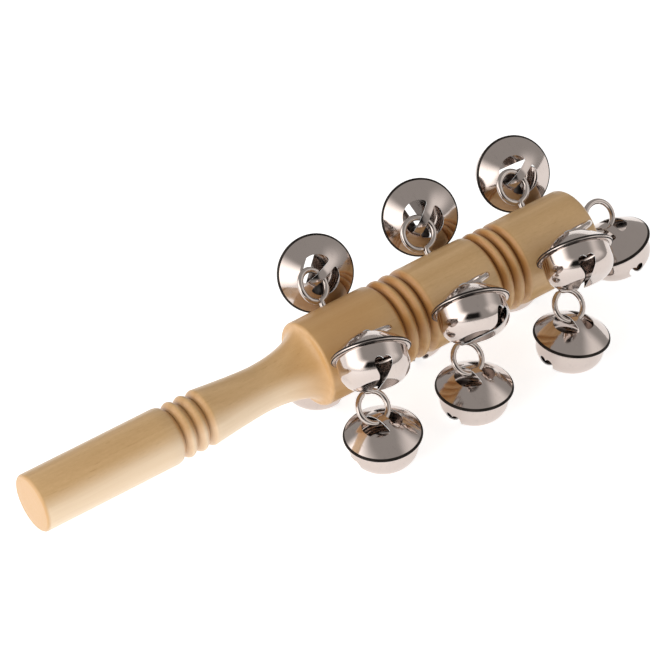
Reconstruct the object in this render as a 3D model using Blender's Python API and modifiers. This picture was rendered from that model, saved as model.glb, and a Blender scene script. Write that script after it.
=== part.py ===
"""Jingle stick: a turned wooden stick that carries thirteen pellet bells on screw eyes.

The stick lies along +X. Its origin is the centre of the flat butt face of the handle.
-Y is the front and +Z is up. Sizes are in metres and angles in degrees.

Every screw eye stands on an empty whose Z axis is the shank and whose X axis lies in the
plane of the loop. Every bell hangs from an empty at the place where its strap bears on the
wire. The X axis of that empty is the axis about which the bell swings.
"""
import math
from dataclasses import dataclass

import bmesh
import bpy
from mathutils import Matrix, Vector

MM = 0.001

# Turned stick
STICK_LENGTH = 205.2 * MM
BODY_RADIUS = 14.0 * MM
GRIP_RADIUS = 9.35 * MM
COLLAR_RADIUS = 9.15 * MM       # beads between the grip and the waist
WAIST_RADIUS = 7.45 * MM
WAIST_FROM_BUTT = 81.0 * MM     # thinnest place of the waist
WAIST_TAPER_POWER = 1.3
SHOULDER_FROM_BUTT = 99.4 * MM  # end of the flare, where the body starts
BODY_LENGTH = STICK_LENGTH - SHOULDER_FROM_BUTT
EDGE_ROUND = 1.1 * MM           # of the butt face and the shoulder
END_ROUND = 1.8 * MM            # of the far end
HANDLE_GROOVES_FROM_BUTT = 49.9 * MM
HANDLE_GROOVE_PITCH = 4.4 * MM
HANDLE_GROOVE_DEPTH = 2.0 * MM
NEAR_GROOVES_SHARE = 0.2836     # of the body's length, from the shoulder
NEAR_GROOVE_PITCH = 4.5 * MM
FAR_GROOVES_SHARE = 0.6399
FAR_GROOVE_PITCH = 4.1 * MM
BODY_GROOVE_DEPTH = 2.3 * MM
STICK_STEPS = 24

# Bell. Bells of other sizes keep these proportions, and so do their eyes.
SHEET = 0.35 * MM
FIT_GAP = 0.3 * MM              # between pieces that touch or bear on each other
BOWL_RADIUS = 11.2 * MM
BOWL_DEPTH = 0.9375 * BOWL_RADIUS
BOWL_CORNER = 0.5357 * BOWL_RADIUS
HEM_WIDTH = 1.5 * MM            # of the flange of the bowl and the hem folded round it
FLANGE_RADIUS = BOWL_RADIUS + HEM_WIDTH
HEM_CHAMFER = 0.3 * MM
CROWN_HEIGHT = 0.6786 * BOWL_RADIUS  # of the dome's curve above the joint of the two shells
CROWN_POWER = 1.5
CROWN_FLAT = 1.6 * MM           # flat top on which the strap bears
STRAP_WIDTH = 2.6 * MM
OPENING_RADIUS = 0.4911 * BOWL_RADIUS  # of the half-round hole on each side of the strap
OPENING_REACH = 0.5 * STRAP_WIDTH + OPENING_RADIUS
SLOT_WIDTH = 2.2 * MM
HEART_WIDTH = 0.4464 * BOWL_RADIUS
HEART_HEIGHT = 0.4464 * BOWL_RADIUS  # from the lobes down to the slot
HEART_LOBE_SHARE = 0.52         # radius of a lobe, of half the heart's width
HEART_FROM_FLANGE = 0.4196 * BOWL_RADIUS
PELLET_RADIUS = 0.3036 * BOWL_RADIUS
SHELL_STEPS = 12

# Screw eye
WIRE_RADIUS = 0.95 * MM
LOOP_RADIUS = 0.4598 * BOWL_RADIUS  # to the middle of the wire
EYE_NECK = 0.8 * MM             # bare wire between the wood and the loop
END_EYE_NECK = 0.3482 * BOWL_RADIUS  # the end eye is screwed in less far
END_EYE_TURN = 143.0            # about the shank, from hanging straight down
SHANK_DEPTH = 9.0 * MM
POINT_LENGTH = 2.5 * MM
POINT_SHARE = 0.3               # of the wire's thickness, left at the tip
LOOP_OPENING = 24.0             # arc that the bent wire leaves open beside the shank
LOOP_POINTS = 15
DRILL_RUNOUT = 2.0 * MM         # by which the pilot drill starts outside the wood
WIRE_SIDES_LEVEL = 1

# Fits of the bell
HEM_HALF = 1.5 * SHEET + FIT_GAP
WIRE_OVER_FLANGE = (
    CROWN_HEIGHT * (1.0 - (CROWN_FLAT / FLANGE_RADIUS) ** CROWN_POWER)
    - SHEET - FIT_GAP - WIRE_RADIUS
    - (LOOP_RADIUS - math.sqrt(LOOP_RADIUS ** 2 - (0.5 * STRAP_WIDTH) ** 2))
)


@dataclass(frozen=True)
class GrooveSet:
    """Turned V grooves, side by side, which leave round beads between them."""
    first_from_butt: float
    pitch: float
    depth: float
    radius: float
    count: int = 3

    @property
    def start(self):
        return self.first_from_butt - 0.5 * self.pitch

    @property
    def stop(self):
        return self.start + self.count * self.pitch

    def outline(self, steps_per_groove=4):
        """Points (along, radius) from the near edge to the far edge of the set."""
        points = []
        for index in range(self.count * steps_per_groove + 1):
            turn = index / steps_per_groove
            bead = abs(math.cos(math.pi * turn))
            points.append((self.start + turn * self.pitch, self.radius - self.depth * (1.0 - bead)))
        return points


def body_place(share):
    """Distance from the butt face of a place that is given as a share of the body's length."""
    return SHOULDER_FROM_BUTT + share * BODY_LENGTH


HANDLE_GROOVES = GrooveSet(
    HANDLE_GROOVES_FROM_BUTT, HANDLE_GROOVE_PITCH, HANDLE_GROOVE_DEPTH, COLLAR_RADIUS)
NEAR_GROOVES = GrooveSet(
    body_place(NEAR_GROOVES_SHARE), NEAR_GROOVE_PITCH, BODY_GROOVE_DEPTH, BODY_RADIUS)
FAR_GROOVES = GrooveSet(
    body_place(FAR_GROOVES_SHARE), FAR_GROOVE_PITCH, BODY_GROOVE_DEPTH, BODY_RADIUS)


@dataclass(frozen=True)
class BellSite:
    """Where one bell hangs. Its rest pose follows from these values."""
    name: str
    share: float        # of the body's length, from the shoulder
    row_angle: float    # of the shank about the stick, from the front upwards
    eye_twist: float    # turn of the screwed-in eye about its own shank
    slip: float         # where the strap bears on the loop, from its outermost point
    heart_angle: float  # of the heart holes about the bell, from the wire's direction

    @property
    def along(self):
        return body_place(self.share)

    @property
    def at_end(self):
        return self.share >= 1.0

    @property
    def neck(self):
        return END_EYE_NECK if self.at_end else EYE_NECK


UPPER_FRONT = 45.0
UPPER_BACK = 135.0
LOWER_BACK = 225.0
LOWER_FRONT = 315.0

SITES = (
    BellSite("upper_back_1", 0.1314, UPPER_BACK, 17.9, 67.3, 120.0),
    BellSite("upper_back_2", 0.5161, UPPER_BACK, -5.4, 48.0, 150.0),
    BellSite("upper_back_3", 0.8724, UPPER_BACK, 8.3, 59.7, 60.0),
    BellSite("upper_front_1", 0.1427, UPPER_FRONT, -5.0, -50.0, 313.0),
    BellSite("upper_front_2", 0.5019, UPPER_FRONT, 6.0, -60.0, 4.0),
    BellSite("upper_front_3", 0.8866, UPPER_FRONT, 5.0, -58.0, 316.0),
    BellSite("lower_front_1", 0.1323, LOWER_FRONT, -3.7, 7.0, 168.0),
    BellSite("lower_front_2", 0.4802, LOWER_FRONT, -4.9, 0.9, 190.0),
    BellSite("lower_front_3", 0.8658, LOWER_FRONT, -3.0, -8.6, 190.0),
    BellSite("lower_back_1", 0.1474, LOWER_BACK, 6.0, 3.0, 120.0),
    BellSite("lower_back_2", 0.5038, LOWER_BACK, -8.0, -2.0, 60.0),
    BellSite("lower_back_3", 0.8705, LOWER_BACK, 3.0, 2.0, 150.0),
    BellSite("end", 1.0, 0.0, END_EYE_TURN, -75.0, 258.0),
)


def clear_scene():
    for obj in list(bpy.data.objects):
        bpy.data.objects.remove(obj, do_unlink=True)


def new_collection(name):
    collection = bpy.data.collections.new(name)
    bpy.context.scene.collection.children.link(collection)
    return collection


def principled(name, colour, roughness, metallic):
    material = bpy.data.materials.new(name)
    material.use_nodes = True
    shader = next(n for n in material.node_tree.nodes if n.type == "BSDF_PRINCIPLED")
    shader.inputs["Base Color"].default_value = (*colour, 1.0)
    shader.inputs["Roughness"].default_value = roughness
    shader.inputs["Metallic"].default_value = metallic
    material.diffuse_color = (*colour, 1.0)
    return material


def rounded_corner(along, radius, size, first_angle, steps=3):
    """Quarter arc about (along, radius), from first_angle on by 90 degrees."""
    points = []
    for index in range(steps + 1):
        angle = math.radians(first_angle + 90.0 * index / steps)
        points.append((along + size * math.sin(angle), radius + size * math.cos(angle)))
    return points


def profile_mesh(name, profile, axis_shift=0.0):
    """Open polyline in the XZ plane. Each point of the profile is (height, radius)."""
    mesh = bpy.data.meshes.new(name)
    vertices = [(radius, 0.0, height + axis_shift) for height, radius in profile]
    edges = [(index, index + 1) for index in range(len(vertices) - 1)]
    mesh.from_pydata(vertices, edges, [])
    return mesh


def add_screw(obj, steps):
    """Revolve the object's profile once about its own Z axis."""
    screw = obj.modifiers.new("Turn", "SCREW")
    screw.axis = "Z"
    screw.angle = 2.0 * math.pi
    screw.steps = steps
    screw.render_steps = steps
    screw.use_merge_vertices = True
    screw.merge_threshold = 0.00001
    screw.use_smooth_shade = True
    return screw


def add_cut(obj, cutter):
    cut = obj.modifiers.new(cutter.name, "BOOLEAN")
    cut.operation = "DIFFERENCE"
    cut.solver = "EXACT"
    cut.object = cutter
    return cut


def link_cutter(obj, cutters):
    cutters.objects.link(obj)
    obj.hide_render = True
    obj.display_type = "WIRE"


def evaluated_mesh(obj, name):
    """The object's mesh with its modifiers applied, as a mesh of its own."""
    bpy.context.view_layer.update()
    graph = bpy.context.evaluated_depsgraph_get()
    mesh = bpy.data.meshes.new_from_object(obj.evaluated_get(graph))
    mesh.name = name
    return mesh


def stick_profile():
    """Points (along, radius) from the far end to the butt face."""
    points = [(0.0, 0.0)]
    points += [(EDGE_ROUND - a, r) for a, r in
               rounded_corner(0.0, GRIP_RADIUS - EDGE_ROUND, EDGE_ROUND, 0.0)][::-1]
    points.append((HANDLE_GROOVES.start - 0.5 * EDGE_ROUND, GRIP_RADIUS))
    points += HANDLE_GROOVES.outline()
    for index in range(1, 6):
        share = index / 5
        along = HANDLE_GROOVES.stop + share * (WAIST_FROM_BUTT - HANDLE_GROOVES.stop)
        swell = (COLLAR_RADIUS - WAIST_RADIUS) * (1.0 - share) ** WAIST_TAPER_POWER
        points.append((along, WAIST_RADIUS + swell))
    flare_rise = BODY_RADIUS - EDGE_ROUND - WAIST_RADIUS
    for index in range(2, 8):
        angle = math.radians(90.0 * index / 7)
        points.append((WAIST_FROM_BUTT + (SHOULDER_FROM_BUTT - WAIST_FROM_BUTT) * math.sin(angle),
                       WAIST_RADIUS + flare_rise * (1.0 - math.cos(angle))))
    shoulder = [(2.0 * SHOULDER_FROM_BUTT + 2.0 * EDGE_ROUND - a, r) for a, r in
                rounded_corner(SHOULDER_FROM_BUTT + EDGE_ROUND, BODY_RADIUS - EDGE_ROUND,
                               EDGE_ROUND, 0.0)][::-1]
    points += shoulder[1:]
    points += NEAR_GROOVES.outline()
    points += FAR_GROOVES.outline()
    points += rounded_corner(STICK_LENGTH - END_ROUND, BODY_RADIUS - END_ROUND, END_ROUND, 0.0)
    points.append((STICK_LENGTH, 0.0))
    return points[::-1]


def crown_height(radius):
    """Height of the dome's outer face above the joint of the two shells."""
    return CROWN_HEIGHT * (1.0 - (max(radius, CROWN_FLAT) / FLANGE_RADIUS) ** CROWN_POWER)


def dome_profile():
    """Outer face of the dome from the crown to the hem that folds in under the flange."""
    hem_start = BOWL_RADIUS + FIT_GAP
    lip_end = BOWL_RADIUS + FIT_GAP
    radii = [0.0, CROWN_FLAT]
    for share in (0.4, 1.0):
        radii.append(CROWN_FLAT + share * (OPENING_REACH - CROWN_FLAT))
    radii.append(0.5 * (OPENING_REACH + hem_start))
    points = [(crown_height(radius), radius) for radius in radii]
    points += [
        (HEM_HALF, hem_start),
        (HEM_HALF, FLANGE_RADIUS - HEM_CHAMFER),
        (0.0, FLANGE_RADIUS),
        (-HEM_HALF, FLANGE_RADIUS - HEM_CHAMFER),
        (-HEM_HALF, lip_end),
    ]
    return points


def bowl_profile():
    """Outer face of the bowl from the edge of its flange to the middle of its bottom."""
    flange_edge = FLANGE_RADIUS - SHEET - FIT_GAP
    points = [(-0.5 * SHEET, flange_edge), (-0.5 * SHEET, BOWL_RADIUS)]
    for index in range(4):
        angle = math.radians(90.0 * index / 3)
        points.append((BOWL_CORNER - BOWL_DEPTH - BOWL_CORNER * math.sin(angle),
                       BOWL_RADIUS - BOWL_CORNER + BOWL_CORNER * math.cos(angle)))
    points.append((-BOWL_DEPTH, 0.0))
    return points


def prism_cutter(name, outlines, depth, cutters):
    """Flat outlines in the XY plane, extruded by half the depth to each side."""
    curve = bpy.data.curves.new(name, "CURVE")
    curve.dimensions = "2D"
    curve.fill_mode = "BOTH"
    curve.extrude = 0.5 * depth
    for outline in outlines:
        spline = curve.splines.new("POLY")
        spline.points.add(len(outline) - 1)
        for point, (x, y) in zip(spline.points, outline):
            point.co = (x, y, 0.0, 1.0)
        spline.use_cyclic_u = True
    guide = bpy.data.objects.new(name + "_outline", curve)
    cutters.objects.link(guide)
    mesh = evaluated_mesh(guide, name)
    bpy.data.objects.remove(guide, do_unlink=True)
    shape = bmesh.new()
    shape.from_mesh(mesh)
    bmesh.ops.remove_doubles(shape, verts=shape.verts, dist=0.000001)
    bmesh.ops.recalc_face_normals(shape, faces=shape.faces)
    shape.to_mesh(mesh)
    shape.free()
    cutter = bpy.data.objects.new(name, mesh)
    link_cutter(cutter, cutters)
    return cutter


def crown_openings():
    """Two half-round outlines, which leave the strap between them."""
    outlines = []
    for side in (1.0, -1.0):
        outline = []
        for index in range(9):
            angle = math.radians(180.0 * index / 8 - 90.0)
            outline.append((side * (0.5 * STRAP_WIDTH + OPENING_RADIUS * math.cos(angle)),
                            OPENING_RADIUS * math.sin(angle)))
        outlines.append(outline)
    return outlines


def heart_outline():
    """Heart with the slot below it. Y is the height above the joint of the shells."""
    lobe = 0.5 * HEART_LOBE_SHARE * HEART_WIDTH
    middle = 0.5 * HEART_WIDTH - lobe
    notch = math.degrees(math.acos(-middle / lobe))
    right = []
    for share in (0.0, 0.2, 0.45, 0.7, 1.0):
        angle = math.radians(notch - share * (notch + 15.0))
        right.append((middle + lobe * math.cos(angle),
                      lobe * (math.sin(angle) - 1.0) - HEART_FROM_FLANGE))
    right.append((0.5 * SLOT_WIDTH, -HEART_FROM_FLANGE - HEART_HEIGHT))
    right.append((0.5 * SLOT_WIDTH, -BOWL_DEPTH - SHEET))
    left = [(-x, y) for x, y in right[:0:-1]]
    return right + left


def shell_master(name, profile, cutter, cutters):
    """Sheet metal shell, turned from its outer face and cut, with its origin on the wire."""
    mesh = profile_mesh(name + "_profile", profile)
    master = bpy.data.objects.new(name + "_master", mesh)
    cutters.objects.link(master)
    add_screw(master, SHELL_STEPS)
    wall = master.modifiers.new("Wall", "SOLIDIFY")
    wall.thickness = SHEET
    wall.offset = -1.0
    wall.use_even_offset = True
    add_cut(master, cutter)
    shell = evaluated_mesh(master, name)
    bpy.data.objects.remove(master, do_unlink=True)
    shell.transform(Matrix.Translation((0.0, 0.0, -WIRE_OVER_FLANGE)))
    shell.shade_smooth()
    shell.set_sharp_from_angle(angle=math.radians(40.0))
    return shell


def pellet_mesh():
    mesh = bpy.data.meshes.new("pellet")
    ball = bmesh.new()
    bmesh.ops.create_icosphere(ball, subdivisions=2, radius=PELLET_RADIUS)
    ball.to_mesh(mesh)
    ball.free()
    mesh.shade_smooth()
    return mesh


def eye_curve(name, neck):
    """Wire from the point of the shank round the loop to the cut end beside the shank."""
    centre = neck + WIRE_RADIUS + LOOP_RADIUS
    points = [
        (0.0, -SHANK_DEPTH, POINT_SHARE),
        (0.0, POINT_LENGTH - SHANK_DEPTH, 1.0),
        (0.0, neck, 1.0),
    ]
    for index in range(LOOP_POINTS):
        share = index / (LOOP_POINTS - 1)
        angle = math.radians(180.0 - 0.5 * LOOP_OPENING - share * (360.0 - LOOP_OPENING))
        points.append((LOOP_RADIUS * math.sin(angle), centre + LOOP_RADIUS * math.cos(angle), 1.0))
    curve = bpy.data.curves.new(name, "CURVE")
    curve.dimensions = "3D"
    curve.bevel_depth = WIRE_RADIUS
    curve.bevel_resolution = WIRE_SIDES_LEVEL
    curve.use_fill_caps = True
    spline = curve.splines.new("POLY")
    spline.points.add(len(points) - 1)
    for point, (across, out, thickness) in zip(spline.points, points):
        point.co = (across, 0.0, out, 1.0)
        point.radius = thickness
    return curve


def site_matrix(site):
    """Frame of the screw eye: Z along the shank, X in the plane of the loop."""
    twist = Matrix.Rotation(math.radians(site.eye_twist), 4, "Z")
    if site.at_end:
        place = Matrix.Translation((STICK_LENGTH, 0.0, 0.0))
        return place @ Matrix.Rotation(math.radians(90.0), 4, "Y") @ twist
    place = Matrix.Rotation(math.radians(90.0 - site.row_angle), 4, "X")
    return Matrix.Translation((site.along, 0.0, 0.0)) @ place @ \
        Matrix.Translation((0.0, 0.0, BODY_RADIUS)) @ twist


def hinge_matrix(site):
    """Frame on the wire where the strap bears: Z outwards from the loop, X along the wire."""
    centre = site.neck + WIRE_RADIUS + LOOP_RADIUS
    slip = Matrix.Rotation(math.radians(site.slip), 4, "Y")
    return site_matrix(site) @ Matrix.Translation((0.0, 0.0, centre)) @ slip @ \
        Matrix.Translation((0.0, 0.0, LOOP_RADIUS))


def bell_matrix(site, swing):
    """Frame of the bell. At swing 0 the bowl points straight out from the loop."""
    return hinge_matrix(site) @ Matrix.Rotation(math.pi - swing, 4, "X")


def gap_to_stick(matrix):
    """Least distance from the bell's rim and bowl to the body of the stick."""
    rings = [
        (FLANGE_RADIUS - HEM_CHAMFER, HEM_HALF),
        (FLANGE_RADIUS, 0.0),
        (FLANGE_RADIUS - HEM_CHAMFER, -HEM_HALF),
    ]
    rings += [(radius, height) for height, radius in bowl_profile()[2:]]
    least = STICK_LENGTH
    for radius, height in rings:
        for index in range(72):
            angle = 2.0 * math.pi * index / 72
            point = matrix @ Vector((radius * math.cos(angle), radius * math.sin(angle),
                                     height - WIRE_OVER_FLANGE))
            outside = math.hypot(point.y, point.z) - BODY_RADIUS
            beyond = point.x - STICK_LENGTH
            if outside > 0.0 and beyond > 0.0:
                least = min(least, math.hypot(outside, beyond))
            else:
                least = min(least, max(outside, beyond))
    return least


def rest_swing(site):
    """Swing at rest: the bell hangs down, or leans on the wood on its way there."""
    hinge = hinge_matrix(site)
    plumb = math.atan2(-hinge.col[1].z, -hinge.col[2].z)
    step = math.copysign(math.radians(1.0), -plumb)
    free = plumb
    while gap_to_stick(bell_matrix(site, free)) < FIT_GAP and abs(free - plumb) < math.pi:
        free += step
    if free == plumb:
        return plumb
    blocked = free - step
    for _ in range(20):
        middle = 0.5 * (free + blocked)
        if gap_to_stick(bell_matrix(site, middle)) < FIT_GAP:
            blocked = middle
        else:
            free = middle
    return free


def pellet_rest(matrix):
    """Centre of the pellet where it lies lowest in the bowl, in the bell's own frame."""
    down = matrix.to_3x3().inverted() @ Vector((0.0, 0.0, -1.0))
    across = Vector((down.x, down.y, 0.0))
    corner = BOWL_CORNER - SHEET - PELLET_RADIUS - 2.0 * FIT_GAP
    flat = (BOWL_RADIUS - BOWL_CORNER) * math.cos(math.pi / SHELL_STEPS)
    if across.length < 0.01:
        flat = 0.0
    place = across.normalized() * flat + down * corner
    return place + Vector((0.0, 0.0, BOWL_CORNER - BOWL_DEPTH - WIRE_OVER_FLANGE))


def place_empty(name, collection, matrix, parent=None):
    empty = bpy.data.objects.new(name, None)
    empty.empty_display_size = 0.004
    empty.matrix_world = matrix
    collection.objects.link(empty)
    attach(empty, parent)
    return empty


def attach(obj, parent):
    """Parent the object without moving it."""
    if parent is not None:
        obj.parent = parent
        obj.matrix_parent_inverse = Matrix.Identity(4)
        obj.matrix_basis = parent_matrix(parent).inverted() @ obj.matrix_basis


def parent_matrix(obj):
    matrix = obj.matrix_basis.copy()
    while obj.parent is not None:
        obj = obj.parent
        matrix = obj.matrix_basis @ matrix
    return matrix


def place_piece(name, data, matrix, parent, collection):
    obj = bpy.data.objects.new(name, data)
    obj.matrix_world = matrix
    collection.objects.link(obj)
    attach(obj, parent)
    return obj


def pilot_hole(site, matrix, holes):
    """Hole for the shank, which reaches past the wood's surface so that it cuts cleanly."""
    sides = 8
    top = DRILL_RUNOUT
    bottom = -SHANK_DEPTH - FIT_GAP
    mesh = bpy.data.meshes.new("pilot_hole_" + site.name)
    drill = bmesh.new()
    radius = (WIRE_RADIUS + FIT_GAP) / math.cos(math.pi / sides)
    bmesh.ops.create_cone(drill, cap_ends=True, segments=sides, radius1=radius, radius2=radius,
                          depth=top - bottom)
    drill.to_mesh(mesh)
    drill.free()
    hole = bpy.data.objects.new(mesh.name, mesh)
    hole.matrix_world = matrix @ Matrix.Translation((0.0, 0.0, 0.5 * (top + bottom)))
    link_cutter(hole, holes)


def build_stick(collection, holes, material):
    mesh = profile_mesh("turned_stick", stick_profile())
    mesh.materials.append(material)
    stick = bpy.data.objects.new("turned_stick", mesh)
    stick.rotation_euler = (0.0, math.radians(90.0), 0.0)
    collection.objects.link(stick)
    add_screw(stick, STICK_STEPS)
    cut = stick.modifiers.new("Pilot holes", "BOOLEAN")
    cut.operation = "DIFFERENCE"
    cut.solver = "EXACT"
    cut.operand_type = "COLLECTION"
    cut.collection = holes
    return stick


def main():
    clear_scene()
    model = new_collection("jingle_stick")
    holes = new_collection("pilot_holes")
    cutters = new_collection("shell_cutters")

    wood = principled("wood", (0.72, 0.50, 0.30), 0.5, 0.0)
    nickel = principled("bell_shell", (0.74, 0.71, 0.67), 0.18, 1.0)
    wire = principled("eye_wire", (0.70, 0.69, 0.67), 0.25, 1.0)
    steel = principled("pellet", (0.38, 0.38, 0.39), 0.4, 1.0)

    openings = prism_cutter("crown_openings", crown_openings(), 2.0 * CROWN_HEIGHT, cutters)
    openings.location.z = CROWN_HEIGHT + HEM_HALF
    hearts = prism_cutter("heart_slot", [heart_outline()], 2.0 * FLANGE_RADIUS, cutters)
    dome = shell_master("bell_dome", dome_profile(), openings, cutters)
    pellet = pellet_mesh()
    eyes = {neck: eye_curve(name, neck) for name, neck in
            (("screw_eye", EYE_NECK), ("end_screw_eye", END_EYE_NECK))}
    for data, material in ((dome, nickel), (pellet, steel),
                           (eyes[EYE_NECK], wire), (eyes[END_EYE_NECK], wire)):
        data.materials.append(material)

    stick = build_stick(model, holes, wood)
    for site in SITES:
        at_site = site_matrix(site)
        mount = place_empty("site_" + site.name, model, at_site)
        place_piece("screw_eye_" + site.name, eyes[site.neck], at_site, mount, model)
        pilot_hole(site, at_site, holes)
        at_wire = bell_matrix(site, rest_swing(site))
        bell = place_empty("swing_" + site.name, model, at_wire, mount)
        place_piece("dome_" + site.name, dome, at_wire, bell, model)
        hearts.rotation_euler = (math.radians(90.0), 0.0, math.radians(site.heart_angle - 90.0))
        bowl = shell_master("bell_bowl_" + site.name, bowl_profile(), hearts, cutters)
        bowl.materials.append(nickel)
        place_piece("bowl_" + site.name, bowl, at_wire, bell, model)
        at_pellet = at_wire @ Matrix.Translation(pellet_rest(at_wire))
        place_piece("pellet_" + site.name, pellet, at_pellet, bell, model)
    bpy.context.view_layer.update()
    return stick


main()
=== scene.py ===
"""Looks of the jingle stick: turned wood, nickel plated bells on wire eyes, a pale studio.

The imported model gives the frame: metres, +X along the stick to its tip, -Y to the front, +Z up.
"""
from __future__ import annotations

import logging
import math
from dataclasses import dataclass, field
from enum import Enum
from typing import Any, Sequence

import bmesh
import bpy
from mathutils import Matrix, Vector


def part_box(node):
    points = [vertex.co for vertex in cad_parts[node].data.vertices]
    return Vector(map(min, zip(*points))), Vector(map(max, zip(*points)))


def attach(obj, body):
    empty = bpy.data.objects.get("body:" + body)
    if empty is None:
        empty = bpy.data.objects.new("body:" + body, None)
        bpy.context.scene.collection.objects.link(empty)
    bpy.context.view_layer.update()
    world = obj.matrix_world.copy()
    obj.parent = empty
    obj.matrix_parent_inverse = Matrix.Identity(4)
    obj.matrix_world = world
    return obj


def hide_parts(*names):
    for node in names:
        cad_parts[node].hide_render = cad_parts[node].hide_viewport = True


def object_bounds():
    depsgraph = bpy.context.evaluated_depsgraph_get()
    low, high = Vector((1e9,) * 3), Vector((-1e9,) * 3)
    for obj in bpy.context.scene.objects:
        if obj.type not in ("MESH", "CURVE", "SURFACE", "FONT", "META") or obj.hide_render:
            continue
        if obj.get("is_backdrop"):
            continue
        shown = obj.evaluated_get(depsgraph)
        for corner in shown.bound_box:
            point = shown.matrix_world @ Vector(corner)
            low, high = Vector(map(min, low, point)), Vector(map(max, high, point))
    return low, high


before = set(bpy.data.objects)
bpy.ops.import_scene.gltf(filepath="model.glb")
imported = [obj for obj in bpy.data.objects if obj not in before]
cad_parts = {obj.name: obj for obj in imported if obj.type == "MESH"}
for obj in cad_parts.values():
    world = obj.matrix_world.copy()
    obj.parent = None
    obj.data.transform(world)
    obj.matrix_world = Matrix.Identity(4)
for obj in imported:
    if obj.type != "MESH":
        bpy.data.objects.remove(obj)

LOG = logging.getLogger("jingle_stick")
MM = 0.001
TURN = 2.0 * math.pi
WELD = 0.002 * MM
Point = tuple[float, float]
Colour = tuple[float, float, float]


# Outlines


def arc(middle: Point, radius: float, start: float, stop: float, steps: int) -> list[Point]:
    """Points on a circular arc.

    Args:
        middle: Centre of the arc.
        radius: Its radius.
        start: First angle, in degrees.
        stop: Last angle, in degrees.
        steps: Number of chords.

    Returns:
        The points, with both ends.
    """
    angles = [math.radians(start + (stop - start) * i / steps) for i in range(steps + 1)]
    return [(middle[0] + radius * math.cos(a), middle[1] + radius * math.sin(a)) for a in angles]


def line(start: Point, stop: Point, steps: int) -> list[Point]:
    """Points on a straight line.

    Args:
        start: Where the line starts.
        stop: Where it ends.
        steps: Number of pieces.

    Returns:
        The points, without the start.
    """
    return [(start[0] + (stop[0] - start[0]) * i / steps,
             start[1] + (stop[1] - start[1]) * i / steps) for i in range(1, steps + 1)]


# Node trees


class Signal:
    """A socket's output, on which arithmetic adds Math nodes."""

    def __init__(self, tree: Tree, socket: bpy.types.NodeSocket) -> None:
        """Wrap one output socket of a tree."""
        self.tree = tree
        self.socket = socket

    def _math(self, operation: str, *operands: Any) -> Signal:
        """Add one Math node, whose operands are signals or numbers."""
        return self.tree.out("ShaderNodeMath", {"operation": operation}, dict(enumerate(operands)))

    def __add__(self, other: Any) -> Signal:
        """Sum."""
        return self._math("ADD", self, other)

    __radd__ = __add__

    def __sub__(self, other: Any) -> Signal:
        """Difference."""
        return self._math("SUBTRACT", self, other)

    def __rsub__(self, other: Any) -> Signal:
        """Difference, the other way round."""
        return self._math("SUBTRACT", other, self)

    def __mul__(self, other: Any) -> Signal:
        """Product."""
        return self._math("MULTIPLY", self, other)

    __rmul__ = __mul__

    def __truediv__(self, other: Any) -> Signal:
        """Quotient."""
        return self._math("DIVIDE", self, other)

    def __pow__(self, other: Any) -> Signal:
        """Power."""
        return self._math("POWER", self, other)

    def sine(self) -> Signal:
        """Sine of an angle in radians."""
        return self._math("SINE", self)

    def cosine(self) -> Signal:
        """Cosine of an angle in radians."""
        return self._math("COSINE", self)

    def root(self) -> Signal:
        """Square root."""
        return self._math("SQRT", self)

    def size(self) -> Signal:
        """Absolute value."""
        return self._math("ABSOLUTE", self)

    def bearing(self, other: Any) -> Signal:
        """Angle in radians of the point (other, self) from the first axis."""
        return self._math("ARCTAN2", self, other)

    def whole(self) -> Signal:
        """Largest whole number not above the value."""
        return self._math("FLOOR", self)

    def at_least(self, other: Any) -> Signal:
        """The larger of two values."""
        return self._math("MAXIMUM", self, other)

    def held(self) -> Signal:
        """The value, held between 0 and 1."""
        return self._math("MINIMUM", self, 1.0).at_least(0.0)

    def wave(self, pitch: float, phase: Any = 0.0) -> Signal:
        """Sine wave of the value between 0 and 1, with a pitch and a phase in radians."""
        return (self * (TURN / pitch) + phase).sine() * 0.5 + 0.5

    def ramp(self, low: float, high: float) -> Signal:
        """Smooth step from 0 at low to 1 at high.

        Args:
            low: Value at which the step starts.
            high: Value at which the step ends. It may lie below low.

        Returns:
            The mask, between 0 and 1.
        """
        return self.tree.out("ShaderNodeMapRange", {"interpolation_type": "SMOOTHSTEP"},
                             {"Value": self, "From Min": low, "From Max": high})


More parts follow.
